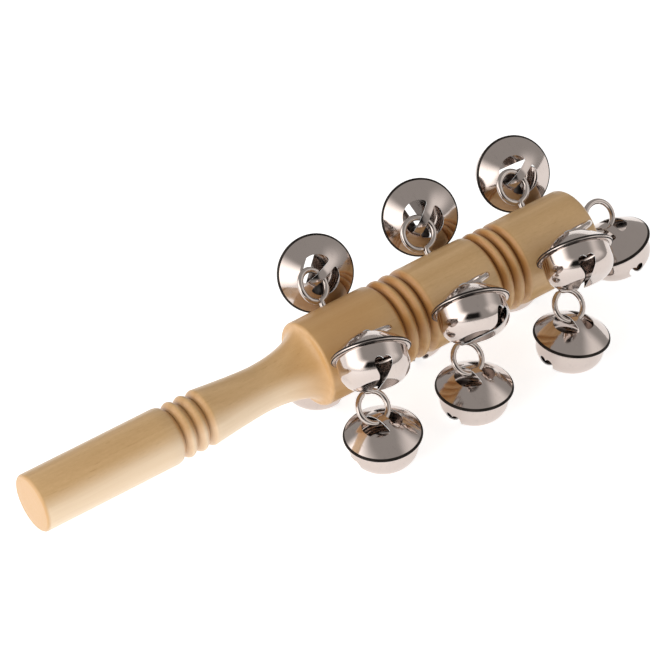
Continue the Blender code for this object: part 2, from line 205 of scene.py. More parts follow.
class Tree:
    """A node tree with one method that adds any node."""

    def __init__(self, tree: bpy.types.NodeTree) -> None:
        """Wrap a node tree."""
        self.tree = tree

    def feed(self, socket: bpy.types.NodeSocket, value: Any) -> None:
        """Link a signal to an input socket, or set its value.

        Args:
            socket: The input.
            value: A signal, or a plain value.
        """
        if isinstance(value, Signal):
            self.tree.links.new(value.socket, socket)
        else:
            socket.default_value = value

    def node(self, kind: str, settings: dict[str, Any] | None = None,
             inputs: dict[Any, Any] | None = None) -> bpy.types.Node:
        """Add a node.

        Args:
            kind: Blender's name of the node's type.
            settings: Properties of the node, set before its sockets.
            inputs: Values or signals for its sockets, by name or by index.

        Returns:
            The new node.
        """
        node = self.tree.nodes.new(kind)
        for name, value in (settings or {}).items():
            setattr(node, name, value)
        for key, value in (inputs or {}).items():
            self.feed(node.inputs[key], value)
        return node

    def out(self, kind: str, settings: dict[str, Any] | None = None,
            inputs: dict[Any, Any] | None = None, output: Any = 0) -> Signal:
        """Add a node and return one of its outputs.

        Args:
            kind: Blender's name of the node's type.
            settings: Properties of the node.
            inputs: Values or signals for its sockets.
            output: Name or index of the output.

        Returns:
            The output as a signal.
        """
        return Signal(self, self.node(kind, settings, inputs).outputs[output])

    def parts(self, vector: Signal) -> list[Signal]:
        """The three components of a vector."""
        node = self.node("ShaderNodeSeparateXYZ", None, {0: vector})
        return [Signal(self, output) for output in node.outputs]

    def mix(self, mask: Any, low: Any, high: Any) -> Signal:
        """Blend two colours.

        Args:
            mask: 0 gives the first colour, 1 the second.
            low: First colour, as a signal or as three numbers.
            high: Second colour, as a signal or as three numbers.

        Returns:
            The blended colour.
        """
        ends = [value if isinstance(value, Signal) else (*value, 1.0) for value in (low, high)]
        return self.out("ShaderNodeMix", {"data_type": "RGBA"},
                        {0: mask, 6: ends[0], 7: ends[1]}, 2)


class ShaderTree(Tree):
    """The node tree of a new material, with its Principled shader."""

    def __init__(self, name: str) -> None:
        """Make a material with a bare Principled shader.

        Args:
            name: Name of the material.
        """
        self.material = bpy.data.materials.new(name)
        self.material.use_nodes = True
        super().__init__(self.material.node_tree)
        self.tree.nodes.clear()
        self.shader = self.node("ShaderNodeBsdfPrincipled")
        self.output = self.node("ShaderNodeOutputMaterial")
        self.tree.links.new(self.shader.outputs[0], self.output.inputs["Surface"])
        self.place = self.out("ShaderNodeTexCoord", None, None, "Object")

    def set(self, **values: Any) -> None:
        """Set or link inputs of the shader.

        Args:
            values: Values or signals by the input's name, written with underscores.
        """
        for name, value in values.items():
            label = name.replace("_", " ").title().replace("Ior", "IOR")
            self.feed(self.shader.inputs[label], value)

    def grain(self, features: Sequence[float], detail: float = 3.0,
              roughness: float = 0.5) -> Signal:
        """Fractal noise between 0 and 1, fixed to the object.

        Args:
            features: Features per metre along each axis.
            detail: Octaves.
            roughness: Share that each octave keeps.

        Returns:
            The noise value.
        """
        place = self.out("ShaderNodeMapping", {"vector_type": "POINT"},
                         {"Vector": self.place, "Scale": tuple(features)})
        return self.out("ShaderNodeTexNoise", None, {
            "Vector": place, "Scale": 1.0, "Detail": detail, "Roughness": roughness})

    def bump(self, height: Signal, strength: float, distance: float) -> None:
        """Feed the shader's normal from a height.

        Args:
            height: Height pattern between 0 and 1.
            strength: Share of the effect.
            distance: Depth of the pattern in metres.
        """
        self.set(normal=self.out("ShaderNodeBump", None, {
            "Strength": strength, "Distance": distance, "Height": height}, "Normal"))


# Finishes


@dataclass(frozen=True)
class WoodFinish:
    """Pale close-grained wood, lightly sealed, with painted shade in its grooves, a painted sheen
    on the lower front of the handle and painted shade on the flare and shoulder.

    Each reach along the stick is the start and the end of a ramp, from the butt face.
    """

    light: Colour = (0.69, 0.455, 0.225)
    dark: Colour = (0.50, 0.295, 0.115)
    # Painted shade: a darker, warmer tone over the flare and shoulder, where less light falls.
    blush: Colour = (0.47, 0.235, 0.065)
    # Painted shade on the groove walls: a warm brown like light bounced inside the grooves.
    slope: Colour = (0.48, 0.220, 0.055)
    # Painted shade at the bottoms of the grooves.
    groove: Colour = (0.20, 0.066, 0.014)
    # Painted sheen: a paler, less saturated tone standing in for white light off the paper on the
    # lower front of the handle.
    sapwood: Colour = (0.84, 0.65, 0.445)
    end_grain: Colour = (0.54, 0.315, 0.135)
    roughness: float = 0.40
    # Reach of the painted shade over the flare and shoulder.
    blush_rise: Point = (80.0 * MM, 104.0 * MM)
    blush_fall: Point = (150.0 * MM, 112.0 * MM)
    handle_reach: Point = (102.0 * MM, 82.0 * MM)
    butt_reach: Point = (1.2 * MM, 0.2 * MM)
    # Direction across the stick towards the painted sheen.
    sap_side: Point = (-0.724, -0.690)
    ring_middle: Point = (31.0 * MM, -43.0 * MM)
    ring_wander: float = 6.0 * MM
    ring_pitch: float = 3.4 * MM
    pith_pitch: float = 1.6 * MM
    lathe_pitch: float = 0.42 * MM
    groove_margin: Point = (0.6 * MM, 0.25 * MM)

    def build(self, stick: TurnedStick) -> bpy.types.Material:
        """Make the material.

        Args:
            stick: The stick, whose groove sets place the painted shade in the grooves.

        Returns:
            The material.
        """
        tree = ShaderTree("turned_wood")
        along, side, height = tree.parts(tree.place)
        radius = (side * side + height * height).root()

        wander = tree.grain((9.0, 60.0, 60.0), 2.0)
        streak = tree.grain((26.0, 900.0, 900.0), 5.0, 0.62)
        cloud = tree.grain((14.0, 45.0, 45.0), 3.0)
        fleck = tree.grain((210.0, 2400.0, 2400.0), 2.0, 0.4)
        mottle = tree.grain((700.0, 1600.0, 1600.0), 3.0, 0.6)
        ring = ((side - self.ring_middle[0]) ** 2.0 + (height - self.ring_middle[1]) ** 2.0).root()
        figure = (ring + (wander - 0.5) * self.ring_wander).wave(self.ring_pitch)
        tone = figure * 0.26 + streak * 0.62 + cloud * 0.42 + mottle * 0.5 - 0.45
        body = tree.mix((tone + fleck.ramp(0.63, 0.74) * 0.35).held(), self.light, self.dark)
        # Painted shade over the flare and shoulder, patchy with the cloud.
        shoulder = along.ramp(*self.blush_rise) * along.ramp(*self.blush_fall)
        body = tree.mix(shoulder * (0.25 + 0.6 * cloud), body, self.blush)
        # How far a point faces the lower front, where the painted sheen goes and the painted groove
        # shade weakens.
        lower = (side * self.sap_side[0] + height * self.sap_side[1]) / radius.at_least(MM)
        handle = along.ramp(*self.handle_reach)
        # Painted sheen on the lower front of the handle.
        pale = lower.ramp(-0.10, 0.58) * handle * (0.60 + 0.6 * streak)
        body = tree.mix(pale.held(), body, self.sapwood)

        depth = self._groove_depth(stick, along, radius)
        # Painted shade in the grooves: darker with depth, weaker on the lower side and on the
        # handle, where more light falls.
        groove_shade_fade = (1.0 - 0.75 * lower.ramp(0.35, 0.85)) * (1.0 - 0.55 * handle)
        wall_shade_mask = (depth.ramp(0.05, 0.45) * (0.75 + 0.5 * streak)).held() * groove_shade_fade.at_least(0.35)
        groove_shade_mask = depth.ramp(0.62, 1.0) * 0.85 * groove_shade_fade
        coloured = tree.mix(groove_shade_mask, tree.mix(wall_shade_mask, body, self.slope), self.groove)
        pith = radius.wave(self.pith_pitch, wander * 5.0)
        end_tone = tree.mix(pith * 0.2 + mottle * 0.5, self.end_grain, self.dark)
        tree.set(base_color=tree.mix(along.ramp(*self.butt_reach), coloured, end_tone),
                 roughness=(streak - 0.5) * 0.25 + self.roughness + depth * 0.1,
                 specular_ior_level=0.5, coat_weight=0.4, coat_roughness=0.28)
        lathe = along.wave(self.lathe_pitch) * (0.08 + 0.35 * depth)
        tree.bump(streak * 0.8 + fleck * 0.3 + lathe, 0.55, 0.12 * MM)
        return tree.material

    def _groove_depth(self, stick: TurnedStick, along: Signal, radius: Signal) -> Signal:
        """Share of a groove's depth at a point, 0 on plain wood.

        Args:
            stick: The stick.
            along: Distance from the butt face.
            radius: Distance from the axis.

        Returns:
            The share.
        """
        total: Signal | None = None
        edge, skin = self.groove_margin
        for grooves in stick.groove_sets:
            inside = along.ramp(grooves.start - edge, grooves.start) * \
                along.ramp(grooves.stop + edge, grooves.stop)
            below = (grooves.radius + skin - radius) / (grooves.depth + skin)
            share = below.held() ** 0.8 * inside
            total = share if total is None else total + share
        return total


@dataclass(frozen=True)
class PlatedFinish:
    """Bright plated metal with faint handling marks."""

    name: str
    colour: Colour
    roughness: float
    mark: float
    shade: float = 0.82

    def build(self) -> bpy.types.Material:
        """Make the material.

        Returns:
            The material.
        """
        tree = ShaderTree(self.name)
        haze = tree.grain((95.0, 95.0, 95.0), 3.0, 0.55)
        scuff = tree.grain((900.0, 260.0, 500.0), 4.0, 0.6)
        worn = scuff.ramp(0.55, 0.72)
        darker = tuple(self.shade * value for value in self.colour)
        tree.set(base_color=tree.mix(haze * 0.5 + worn * 0.3, self.colour, darker),
                 roughness=haze * 0.06 + worn * self.mark + self.roughness, metallic=1.0)
        tree.bump(haze * 0.9 + scuff * 0.05, 0.3, 0.06 * MM)
        return tree.material


@dataclass(frozen=True)
class InnerFinish:
    """Inside of a pressed shell: bare dull steel with stains from the press, darkened to near black
    as painted shade inside the closed bell.
    """

    # Near black: painted shade inside the closed bell, over bare dull steel.
    colour: Colour = (0.040, 0.033, 0.028)
    stain: Colour = (0.015, 0.012, 0.010)
    roughness: float = 0.52

    def build(self) -> bpy.types.Material:
        """Make the material.

        Returns:
            The material.
        """
        tree = ShaderTree("dull_inside")
        cloud = tree.grain((210.0, 210.0, 210.0), 4.0, 0.6)
        tree.set(base_color=tree.mix(cloud.ramp(0.35, 0.7), self.colour, self.stain),
                 roughness=cloud * 0.2 + self.roughness, metallic=0.8)
        tree.bump(cloud, 0.3, 0.08 * MM)
        return tree.material


@dataclass(frozen=True)
class FloorFinish:
    """Matt white paper, with a glow of its own so that only soft shadows stay on it."""

    colour: Colour = (0.72, 0.72, 0.72)
    fibre: Colour = (0.68, 0.68, 0.68)
    lift: float = 0.72

    def build(self) -> bpy.types.Material:
        """Make the material.

        Returns:
            The material.
        """
        tree = ShaderTree("studio_paper")
        pulp = tree.grain((400.0, 400.0, 400.0), 2.0)
        tree.set(base_color=tree.mix(pulp * 0.04, self.colour, self.fibre),
                 roughness=0.9, specular_ior_level=0.0)
        glow = tree.out("ShaderNodeEmission", None, {"Color": (1.0, 1.0, 1.0, 1.0),
                                                     "Strength": self.lift})
        both = tree.out("ShaderNodeAddShader", None, {
            0: Signal(tree, tree.shader.outputs[0]), 1: glow})
        tree.feed(tree.output.inputs["Surface"], both)
        return tree.material


# Meshes


class MeshTools:
    """Small steps on objects and meshes that several sub-assemblies share."""

    @staticmethod
    def show(name: str, data: Any) -> bpy.types.Object:
        """Put a mesh, a lamp or a camera in the scene.

        Args:
            name: Name of the object.
            data: What it shows.

        Returns:
            The new object, at the origin.
        """
        obj = bpy.data.objects.new(name, data)
        bpy.context.scene.collection.objects.link(obj)
        return obj

    @staticmethod
    def evaluated(obj: bpy.types.Object, name: str) -> bpy.types.Mesh:
        """Apply an object's modifiers.

        Args:
            obj: The object.
            name: Name of the new mesh.

        Returns:
            The resulting mesh, which belongs to no object.
        """
        bpy.context.view_layer.update()
        graph = bpy.context.evaluated_depsgraph_get()
        mesh = bpy.data.meshes.new_from_object(obj.evaluated_get(graph))
        mesh.name = name
        return mesh

    @staticmethod
    def kept(shape: bmesh.types.BMesh, name: str) -> bpy.types.Mesh:
        """Turn a working shape into a mesh, and free it.

        Args:
            shape: The working shape.
            name: Name of the mesh.

        Returns:
            The mesh.
        """
        mesh = bpy.data.meshes.new(name)
        shape.to_mesh(mesh)
        shape.free()
        return mesh

    @staticmethod
    def polyline(name: str, points: Sequence[Sequence[float]],
                 thickness: Sequence[float] | None = None) -> bpy.types.Mesh:
        """A mesh of edges through the points.

        Args:
            name: Name of the mesh.
            points: Places in order.
            thickness: Share of the full thickness at each point.

        Returns:
            The mesh.
        """
        mesh = bpy.data.meshes.new(name)
        edges = [(index, index + 1) for index in range(len(points) - 1)]
        mesh.from_pydata([tuple(point) for point in points], edges, [])
        if thickness is not None:
            layer = mesh.attributes.new("thickness", "FLOAT", "POINT")
            layer.data.foreach_set("value", list(thickness))
        return mesh

    @staticmethod
    def outward(mesh: bpy.types.Mesh) -> None:
        """Point the faces of a closed mesh outwards.

        Args:
            mesh: The mesh, which is changed.
        """
        shape = bmesh.new()
        shape.from_mesh(mesh)
        bmesh.ops.recalc_face_normals(shape, faces=shape.faces)
        if shape.calc_volume(signed=True) < 0.0:
            bmesh.ops.reverse_faces(shape, faces=shape.faces)
        shape.to_mesh(mesh)
        shape.free()

    @staticmethod
    def prism(name: str, outline: Sequence[Point], depth: float, matrix: Matrix) -> bpy.types.Mesh:
        """A flat outline in the XY plane, extruded by half the depth to each side.

        Args:
            name: Name of the mesh.
            outline: Points in order.
            depth: Whole depth.
            matrix: Where the prism goes.

        Returns:
            A closed mesh.
        """
        shape = bmesh.new()
        face = shape.faces.new([shape.verts.new((x, y, -0.5 * depth)) for x, y in outline])
        grown = bmesh.ops.extrude_face_region(shape, geom=[face])
        upper = [item for item in grown["geom"] if isinstance(item, bmesh.types.BMVert)]
        bmesh.ops.translate(shape, verts=upper, vec=(0.0, 0.0, depth))
        bmesh.ops.recalc_face_normals(shape, faces=shape.faces)
        mesh = MeshTools.kept(shape, name)
        mesh.transform(matrix)
        return mesh

    @staticmethod
    def cut(mesh: bpy.types.Mesh, cutters: Sequence[bpy.types.Mesh]) -> bpy.types.Mesh:
        """Subtract closed meshes from a closed mesh.

        Args:
            mesh: The mesh to cut.
            cutters: What is taken away.

        Returns:
            The cut mesh.
        """
        work = MeshTools.show("work", mesh)
        tools = [MeshTools.show(f"tool_{index}", cutter) for index, cutter in enumerate(cutters)]
        for tool in tools:
            step = work.modifiers.new(tool.name, "BOOLEAN")
            step.operation = "DIFFERENCE"
            step.solver = "EXACT"
            step.object = tool
        result = MeshTools.evaluated(work, mesh.name)
        for obj in (work, *tools):
            bpy.data.objects.remove(obj, do_unlink=True)
        return result

    @staticmethod
    def smooth(mesh: bpy.types.Mesh, angle: float) -> bpy.types.Mesh:
        """Shade a mesh smooth, with its sharp edges kept.

        Args:
            mesh: The mesh, which is changed.
            angle: Angle in degrees above which an edge is sharp.

        Returns:
            The same mesh.
        """
        mesh.shade_smooth()
        mesh.set_sharp_from_angle(angle=math.radians(angle))
        return mesh

    @staticmethod
    def piece(name: str, mesh: bpy.types.Mesh, body: str, node: str, slot: str) -> None:
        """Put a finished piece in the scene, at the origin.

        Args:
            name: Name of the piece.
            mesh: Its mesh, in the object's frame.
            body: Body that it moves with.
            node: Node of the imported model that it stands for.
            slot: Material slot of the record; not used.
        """
        obj = MeshTools.show(name, mesh)
        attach(obj, body)
        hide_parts(node)
        LOG.info("%s rides on %s with %d faces", name, body, len(mesh.polygons))


# Shapes made by rule


class GeometryTree(Tree):
    """A Geometry Nodes group that turns a polyline into a surface."""

    def __init__(self, name: str, numbers: dict[str, tuple[str, Any]]) -> None:
        """Make the group with its named inputs.

        Args:
            name: Name of the group.
            numbers: For each input its kind, "Int" or "Float", and its default.
        """
        self.group = bpy.data.node_groups.new(name, "GeometryNodeTree")
        super().__init__(self.group)
        sides = self.group.interface
        sides.new_socket("Geometry", in_out="INPUT", socket_type="NodeSocketGeometry")
        for label, (kind, default) in numbers.items():
            socket = sides.new_socket(label, in_out="INPUT", socket_type="NodeSocket" + kind)
            socket.default_value = default
        sides.new_socket("Material", in_out="INPUT", socket_type="NodeSocketMaterial")
        sides.new_socket("Geometry", in_out="OUTPUT", socket_type="NodeSocketGeometry")
        self.entry = self.node("NodeGroupInput")

    def given(self, name: str) -> Signal:
        """One of the group's inputs."""
        return Signal(self, self.entry.outputs[name])

    def finish(self, surface: Signal) -> None:
        """End the group: welded, smooth, real geometry with its material.

        Args:
            surface: The surface so far.
        """
        welded = self.out("GeometryNodeMergeByDistance", None, {
            "Geometry": surface, "Distance": WELD})
        smooth = self.out("GeometryNodeSetShadeSmooth", None, {0: welded})
        real = self.out("GeometryNodeRealizeInstances", None, {0: smooth})
        dressed = self.out("GeometryNodeSetMaterial", None, {
            "Geometry": real, "Material": self.given("Material")})
        self.node("NodeGroupOutput", None, {0: dressed})

    def run(self, name: str, guide: bpy.types.Mesh, **values: Any) -> bpy.types.Mesh:
        """Run the group on a polyline.

        Args:
            name: Name of the resulting mesh.
            guide: The polyline.
            values: Values of the named inputs, the material among them.

        Returns:
            A plain mesh.
        """
        carrier = MeshTools.show(name + "_guide", guide)
        step = carrier.modifiers.new("Shape", "NODES")
        step.node_group = self.group
        for item in self.group.interface.items_tree:
            if item.in_out == "INPUT" and item.name in values:
                step[item.identifier] = values[item.name]
        mesh = MeshTools.evaluated(carrier, name)
        bpy.data.objects.remove(carrier, do_unlink=True)
        MeshTools.outward(mesh)
        return mesh


class TurningTree(GeometryTree):
    """Turns a profile once round its Z axis. Each point of the profile is (radius, 0, height)."""

    def __init__(self) -> None:
        """Build the group: a grid whose rows are the profile's points, bent round the axis."""
        super().__init__("Turned surface", {"Segments": ("Int", 64)})
        profile = self.given("Geometry")
        rows = self.out("GeometryNodeAttributeDomainSize", {"component": "MESH"}, {0: profile})
        columns = self.given("Segments") + 1.0
        grid = self.out("GeometryNodeMeshGrid", None, {
            "Size X": 1.0, "Size Y": 1.0, "Vertices X": rows, "Vertices Y": columns})
        index = self.out("GeometryNodeInputIndex")
        row = ((index + 0.5) / columns).whole()
        turn = (index - row * columns) * TURN / self.given("Segments")
        point = self.out("GeometryNodeSampleIndex",
                         {"data_type": "FLOAT_VECTOR", "domain": "POINT"},
                         {"Geometry": profile, "Index": row,
                          "Value": self.out("GeometryNodeInputPosition")})
        radius, _, height = self.parts(point)
        place = self.out("ShaderNodeCombineXYZ", None, {
            0: radius * turn.cosine(), 1: radius * turn.sine(), 2: height})
        self.finish(self.out("GeometryNodeSetPosition", None, {
            "Geometry": grid, "Position": place}))


class WireTree(GeometryTree):
    """Draws a round wire along a polyline whose points carry a thickness."""

    def __init__(self) -> None:
        """Build the group: a circle swept along the polyline, with closed ends."""
        super().__init__("Bent wire", {"Radius": ("Float", 0.001), "Sides": ("Int", 20)})
        thickness = self.out("GeometryNodeInputNamedAttribute", {"data_type": "FLOAT"},
                             {"Name": "thickness"})
        path = self.out("GeometryNodeMeshToCurve", None, {0: self.given("Geometry")})
        sized = self.out("GeometryNodeSetCurveRadius", None, {
            "Curve": path, "Radius": thickness * self.given("Radius")})
        ring = self.out("GeometryNodeCurvePrimitiveCircle", None, {
            "Resolution": self.given("Sides"), "Radius": 1.0})
        self.finish(self.out("GeometryNodeCurveToMesh", None, {
            "Curve": sized, "Profile Curve": ring, "Fill Caps": True,
            "Scale": self.out("GeometryNodeInputRadius")}))


# Sub-assemblies


class Row(Enum):
    """Rows of eyes round the stick, by the angle of the shank from the front upwards."""

    UPPER_FRONT = 45.0
    UPPER_BACK = 135.0
    LOWER_BACK = 225.0
    LOWER_FRONT = 315.0
    TIP = 0.0


@dataclass(frozen=True)
class Grooves:
    """V grooves, side by side, which leave round beads between them."""

    first: float
    pitch: float
    depth: float
    radius: float
    count: int = 3
    bottom: float = 0.006

    @property
    def start(self) -> float:
        """Near edge."""
        return self.first - 0.5 * self.pitch

    @property
    def stop(self) -> float:
        """Far edge."""
        return self.start + self.count * self.pitch

    def outline(self, steps: int = 14) -> list[Point]:
        """Draw the beads, with the bottoms of the grooves a little rounded.

        Args:
            steps: Points for each groove.

        Returns:
            Points (along, radius) from the near edge to the far edge.
        """
        points = []
        for index in range(self.count * steps + 1):
            turn = index / steps
            bead = math.cos(math.pi * turn) ** 2
            bead = math.sqrt((bead + self.bottom) / (1.0 + self.bottom))
            points.append((self.start + turn * self.pitch, self.radius - self.depth * (1.0 - bead)))
        return points


@dataclass
class TurnedStick:
    """The wooden stick."""

    finish: WoodFinish
    length: float = 205.2 * MM
    body_radius: float = 14.0 * MM
    grip_radius: float = 9.35 * MM
    collar_radius: float = 9.15 * MM
    waist_radius: float = 7.45 * MM
    waist: float = 81.0 * MM
    waist_power: float = 1.3
    shoulder: float = 99.4 * MM
    edge_round: float = 1.1 * MM
    end_round: float = 1.8 * MM
    grip_chamfer: float = 0.55 * MM
    hole_radius: float = 1.04 * MM
    hole_depth: float = 9.15 * MM
    segments: int = 160
    groove_sets: tuple[Grooves, ...] = field(init=False)

    def __post_init__(self) -> None:
        """Place the three sets of grooves."""
        self.groove_sets = (
            Grooves(49.9 * MM, 4.4 * MM, 2.0 * MM, self.collar_radius),
            Grooves(129.4 * MM, 4.5 * MM, 2.3 * MM, self.body_radius),
            Grooves(167.1 * MM, 4.1 * MM, 2.3 * MM, self.body_radius),
        )

    def profile(self) -> list[Point]:
        """Draw half of the stick's section.

        Returns:
            Points (along, radius) from the butt face to the far end.
        """
        handle, near, far = self.groove_sets
        edge, end = self.edge_round, self.end_round
        points: list[Point] = [(0.0, 0.0), (0.0, 0.45 * self.grip_radius)]
        points += arc((edge, self.grip_radius - edge), edge, 180.0, 90.0, 8)
        points += line(points[-1], (handle.start - self.grip_chamfer, self.grip_radius), 12)
        points += handle.outline()
        for index in range(1, 19):
            share = index / 18
            swell = (self.collar_radius - self.waist_radius) * (1.0 - share) ** self.waist_power
            points.append((handle.stop + share * (self.waist - handle.stop),
                           self.waist_radius + swell))
        rise = self.body_radius - edge - self.waist_radius
        for x, y in arc((0.0, 0.0), 1.0, 0.0, 90.0, 28)[2:]:
            points.append((self.waist + (self.shoulder - self.waist) * y,
                           self.waist_radius + rise * (1.0 - x)))
        points += arc((self.shoulder + edge, self.body_radius - edge), edge, 180.0, 90.0, 8)[1:]
        for grooves in (near, far):
            beads = grooves.outline()
            points += line(points[-1], beads[0], 8) + beads[1:]
        points += line(points[-1], (self.length - end, self.body_radius), 8)
        points += arc((self.length - end, self.body_radius - end), end, 90.0, 0.0, 8)[1:]
        return points + [(self.length, 0.5 * self.body_radius), (self.length, 0.0)]

    def build(self, turning: TurningTree, shanks: Sequence[Matrix]) -> None:
        """Make the stick.

        Args:
            turning: Tree that turns a profile.
            shanks: Frames of the screw eyes, whose holes are drilled.
        """
        points = [(radius, 0.0, along) for along, radius in self.profile()]
        mesh = turning.run("wood", MeshTools.polyline("stick_profile", points),
                           Segments=self.segments, Material=self.finish.build(self))
        mesh.transform(Matrix.Rotation(math.radians(90.0), 4, "Y"))
        ring = arc((0.0, 0.0), self.hole_radius, 0.0, 360.0, 24)[:-1]
        drills = [MeshTools.prism("drill", ring, 2.0 * self.hole_depth, shank) for shank in shanks]
        mesh = MeshTools.smooth(MeshTools.cut(mesh, drills), 32.0)
        MeshTools.piece("wooden_stick", mesh, "stick", "turned_stick", "wood")


@dataclass
class ScrewEye:
    """Bent wire eye: a pointed shank, a loop, and a cut end beside the shank."""

    radius: float = 0.95 * MM
    loop: float = 5.15 * MM
    shank: float = 9.0 * MM
    point: float = 2.5 * MM
    point_share: float = 0.3
    opening: float = 24.0
    bend_reach: float = 0.55
    cut_length: float = 0.12 * MM
    cut_share: float = 0.72
    sides: int = 20

    def centre(self, neck: float) -> float:
        """Height of the loop's centre over the wood."""
        return neck + self.radius + self.loop

    def path(self, neck: float) -> tuple[list[Sequence[float]], list[float]]:
        """Middle line of the wire.

        Args:
            neck: Bare wire between the wood and the loop.

        Returns:
            Points from the tip of the shank to the cut end, and the thickness at each.
        """
        half = 180.0 - 0.5 * self.opening
        points: list[Point] = [(0.0, -self.shank), (0.0, self.point - self.shank)]
        points += line(points[-1], (0.0, 0.0), 8)
        ring = arc((0.0, self.centre(neck)), self.loop, 90.0 - half, 90.0 + half, 60)
        start, base = Vector(ring[0]), Vector((0.0, 0.25 * neck))
        way = Vector((-math.cos(math.radians(half)), math.sin(math.radians(half))))
        reach = self.bend_reach * (start - base).length
        leave, arrive = base + Vector((0.0, reach)), start - way * reach
        for index in range(9):
            t = index / 9
            points.append(tuple(base * (1 - t) ** 3 + leave * (3 * t * (1 - t) ** 2)
                                + arrive * (3 * t * t * (1 - t)) + start * t ** 3))
        points += ring
        last, before = Vector(points[-1]), Vector(points[-2])
        points[-1] = tuple(last + (last - before).normalized() * self.cut_length)
        thickness = [self.point_share] + [1.0] * (len(points) - 2) + [self.cut_share]
        return [(x, 0.0, z) for x, z in points], thickness

    def build(self, name: str, wire: WireTree, matrix: Matrix, neck: float,
              material: bpy.types.Material) -> None:
        """Make one eye.

        Args:
            name: Name of the bell's place.
            wire: Tree that draws the wire.
            matrix: Frame of the eye.
            neck: Bare wire between the wood and the loop.
            material: Finish of the wire.
        """
        mesh = wire.run("eye_" + name, MeshTools.polyline("eye_path", *self.path(neck)),
                        Radius=self.radius, Sides=self.sides, Material=material)
        mesh.transform(matrix)
        MeshTools.piece("wire_eye_" + name, MeshTools.smooth(mesh, 50.0), "stick",
                        "screw_eye_" + name, "eye_wire")


@dataclass(frozen=True)
class BellPlace:
    """Where one bell hangs, and how it lies at rest. Angles are in degrees."""

    name: str
    share: float
    row: Row
    eye_twist: float
    slip: float
    swing: float
    heart: float

    @property
    def neck(self) -> float:
        """Bare wire between the wood and the loop."""
        return (3.9 if self.row is Row.TIP else 0.8) * MM

    def eye_matrix(self, stick: TurnedStick) -> Matrix:
        """Place the eye: Z along the shank, X in the plane of the loop.

        Args:
            stick: The stick.

        Returns:
            Frame of the eye, with its origin on the wood.
        """
        twist = Matrix.Rotation(math.radians(self.eye_twist), 4, "Z")
        if self.row is Row.TIP:
            place = Matrix.Translation((stick.length, 0.0, 0.0))
            return place @ Matrix.Rotation(math.radians(90.0), 4, "Y") @ twist
        lean = Matrix.Rotation(math.radians(90.0 - self.row.value), 4, "X")
        along = stick.shoulder + self.share * (stick.length - stick.shoulder)
        return Matrix.Translation((along, 0.0, 0.0)) @ lean @ \
            Matrix.Translation((0.0, 0.0, stick.body_radius)) @ twist

    def bell_matrix(self, stick: TurnedStick, eye: ScrewEye) -> Matrix:
        """Place the bell: its origin on the wire, its crown on the Z side.

        Args:
            stick: The stick.
            eye: The eye.

        Returns:
            Frame of the bell.
        """
        slip = Matrix.Rotation(math.radians(self.slip), 4, "Y")
        return self.eye_matrix(stick) @ Matrix.Translation((0.0, 0.0, eye.centre(self.neck))) \
            @ slip @ Matrix.Translation((0.0, 0.0, eye.loop)) \
            @ Matrix.Rotation(math.radians(180.0 - self.swing), 4, "X")


@dataclass(frozen=True)
class ShellFinishes:
    """Materials of a pressed shell."""

    plating: bpy.types.Material
    inside: bpy.types.Material
    fold: bpy.types.Material


